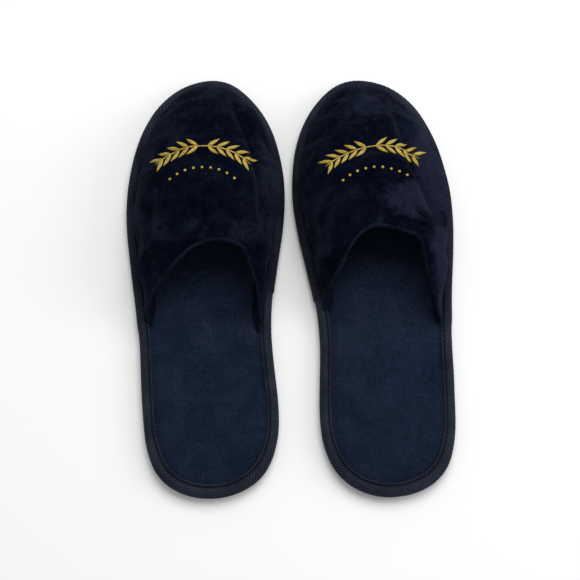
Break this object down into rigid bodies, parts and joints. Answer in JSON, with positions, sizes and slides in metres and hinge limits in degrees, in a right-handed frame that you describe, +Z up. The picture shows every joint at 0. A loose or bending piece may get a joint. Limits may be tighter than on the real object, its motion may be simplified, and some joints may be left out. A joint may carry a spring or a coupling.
{
  "type": "spa slippers",
  "caption": "Closed-toe spa slippers in dark velour with a woven edge binding, padded upper, flat cushioned sole and an embroidered leaf spray.",
  "frame": {"origin": "on the floor, under the middle of the pair's bounding box", "axes": "+Z up from the floor, +Y towards the toes along the slippers' length, +X towards the right slipper"},
  "size_m": [0.221, 0.2906, 0.0535],
  "materials": {
    "velour": "matte",
    "lining_fabric": "matte",
    "binding_tape": "matte",
    "sewing_thread": "satin",
    "gold_thread": "satin",
    "nonwoven_backing": "matte",
    "cushion_foam": "matte",
    "greyboard": "matte",
    "eva_foam_sole": "matte"
  },
  "bodies": {
    "left_slipper": {"left_outsole": "eva_foam_sole", "left_stiffener_board": "greyboard", "left_cushion_foam": "cushion_foam", "left_insole_cover": "velour", "left_edge_binding": "binding_tape", "left_seam_needle_thread": "sewing_thread", "left_seam_bobbin_thread": "sewing_thread", "left_upper_shell": "velour", "left_upper_padding": "cushion_foam", "left_upper_lining": "lining_fabric", "left_throat_trim": "velour", "left_embroidery": "gold_thread", "left_embroidery_backing": "nonwoven_backing"},
    "right_slipper": {"right_outsole": "eva_foam_sole", "right_stiffener_board": "greyboard", "right_cushion_foam": "cushion_foam", "right_insole_cover": "velour", "right_edge_binding": "binding_tape", "right_seam_needle_thread": "sewing_thread", "right_seam_bobbin_thread": "sewing_thread", "right_upper_shell": "velour", "right_upper_padding": "cushion_foam", "right_upper_lining": "lining_fabric", "right_throat_trim": "velour", "right_embroidery": "gold_thread", "right_embroidery_backing": "nonwoven_backing"}
  },
  "joints": [
    {"name": "right_slipper_lift", "type": "slide", "parent": "left_slipper", "child": "right_slipper", "axis": [0, 0, 1], "range_m": [0, 0.25]}
  ]
}
